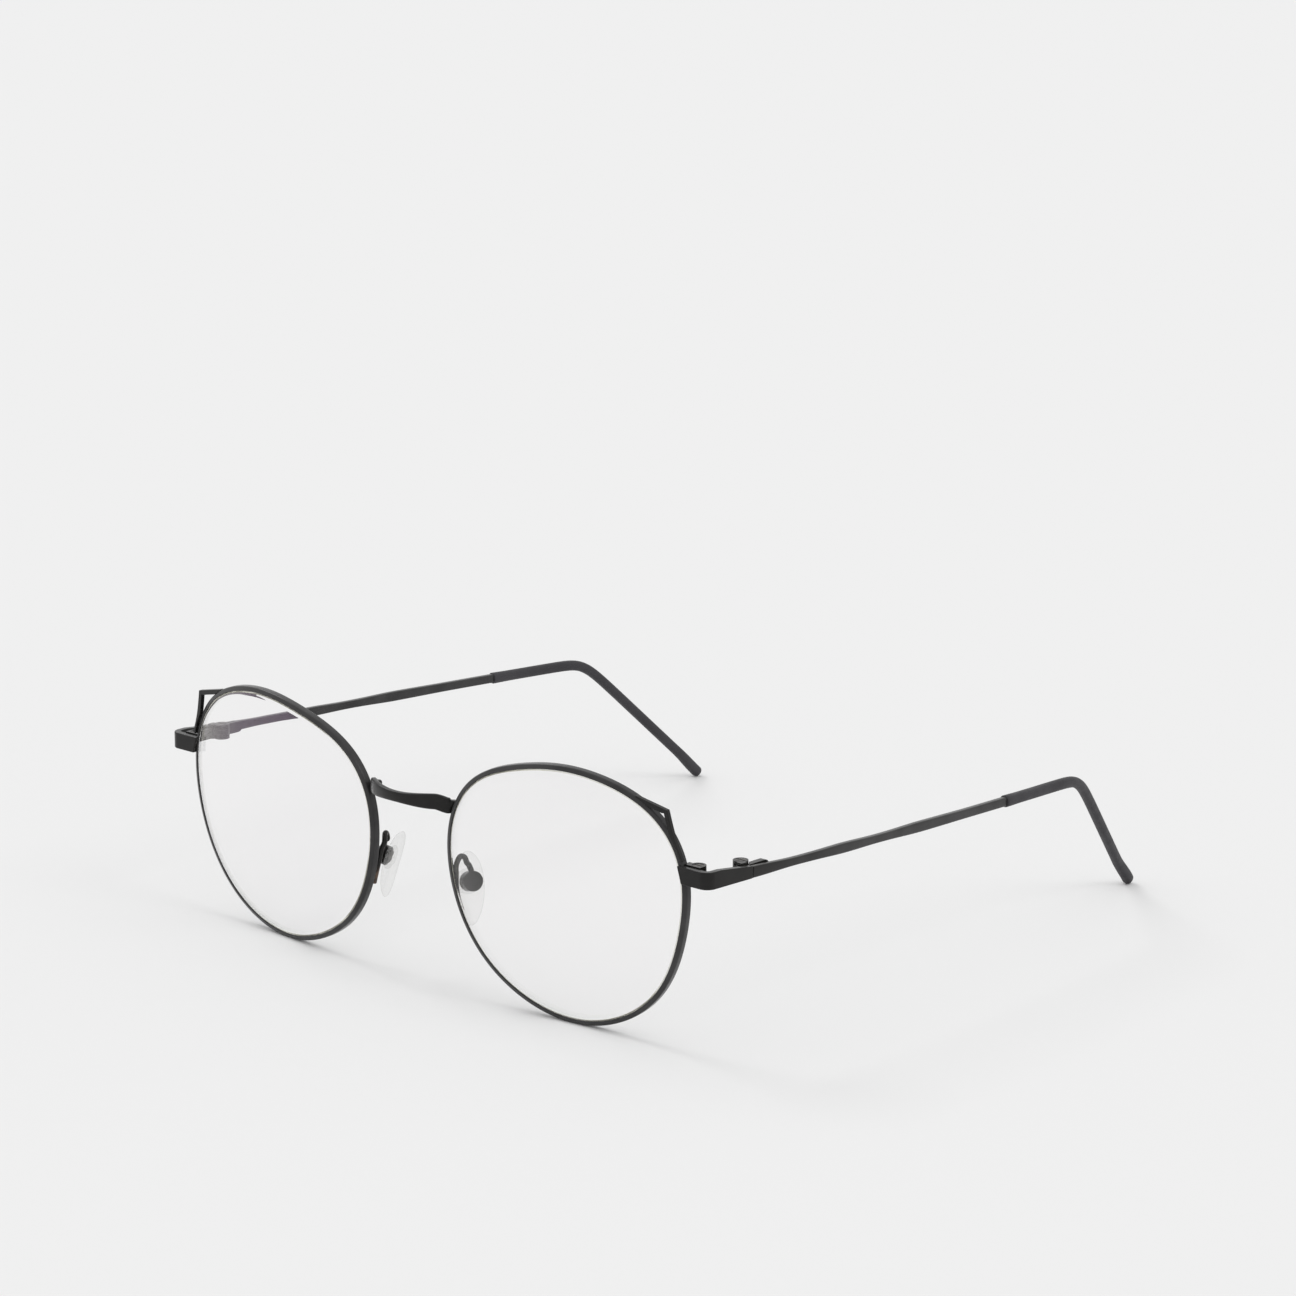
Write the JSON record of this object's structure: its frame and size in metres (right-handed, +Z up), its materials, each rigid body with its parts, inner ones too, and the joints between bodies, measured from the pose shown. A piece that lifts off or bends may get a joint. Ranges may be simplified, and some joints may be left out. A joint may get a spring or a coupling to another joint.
{
  "type": "round eyeglass frame",
  "caption": "Round metal eyeglass frame with cat-ear corner trims, clear lenses, folding temples with sleeved tips, and nose pads that rock on gooseneck arms.",
  "frame": {"origin": "middle of the frame's length and width, at the table that the eyewires and temple tips stand on", "axes": "+X to the wearer's left, +Y back along the open temples, +Z up; the lenses look along -Y"},
  "size_m": [0.1412, 0.1458, 0.0489],
  "materials": {
    "black_metal": "satin black lacquer on metal",
    "screw_steel": "plain steel",
    "lens": "clear, coated, polished",
    "tip_sleeve": "matt dark grey sleeve",
    "pad_silicone": "clear silicone"
  },
  "bodies": {
    "front": {"eyewire_right": "black_metal", "eyewire_left": "black_metal", "lens_right": "lens", "lens_left": "lens", "bridge": "black_metal", "ear_trim_right": "black_metal", "ear_trim_left": "black_metal", "lock_upper_right": "black_metal", "lock_upper_left": "black_metal", "lock_lower_right": "black_metal", "lock_lower_left": "black_metal", "lock_screw_right": "screw_steel", "lock_screw_left": "screw_steel", "end_piece_right": "black_metal", "end_piece_left": "black_metal", "hinge_front_right": "black_metal", "hinge_front_left": "black_metal", "hinge_screw_right": "screw_steel", "hinge_screw_left": "screw_steel", "pad_arm_right": "black_metal", "pad_arm_left": "black_metal", "pad_box_right": "black_metal", "pad_box_left": "black_metal", "pad_screw_right": "screw_steel", "pad_screw_left": "screw_steel"},
    "arm_right": {"hinge_rear_right": "black_metal", "temple_right": "black_metal", "temple_tip_right": "tip_sleeve"},
    "arm_left": {"hinge_rear_left": "black_metal", "temple_left": "black_metal", "temple_tip_left": "tip_sleeve"},
    "rocker_right": {"pad_core_right": "screw_steel", "nose_pad_right": "pad_silicone"},
    "rocker_left": {"pad_core_left": "screw_steel", "nose_pad_left": "pad_silicone"}
  },
  "joints": [
    {"name": "fold_left", "type": "hinge", "parent": "front", "child": "arm_left", "pos_m": [0.06745, -0.05314, 0.03271], "axis": [0, 0, 1], "range_deg": [0, 87]},
    {"name": "fold_right", "type": "hinge", "parent": "front", "child": "arm_right", "pos_m": [-0.06745, -0.05314, 0.03271], "axis": [0, 0, -1], "range_deg": [0, 82]},
    {"name": "pad_rock_left", "type": "hinge", "parent": "front", "child": "rocker_left", "pos_m": [0.01176, -0.06368, 0.02121], "axis": [0.3215, 0.9456, -0.0506], "range_deg": [-8, 8]},
    {"name": "pad_rock_right", "type": "hinge", "parent": "front", "child": "rocker_right", "pos_m": [-0.01176, -0.06368, 0.02121], "axis": [-0.3215, 0.9456, -0.0506], "range_deg": [-8, 8]}
  ]
}
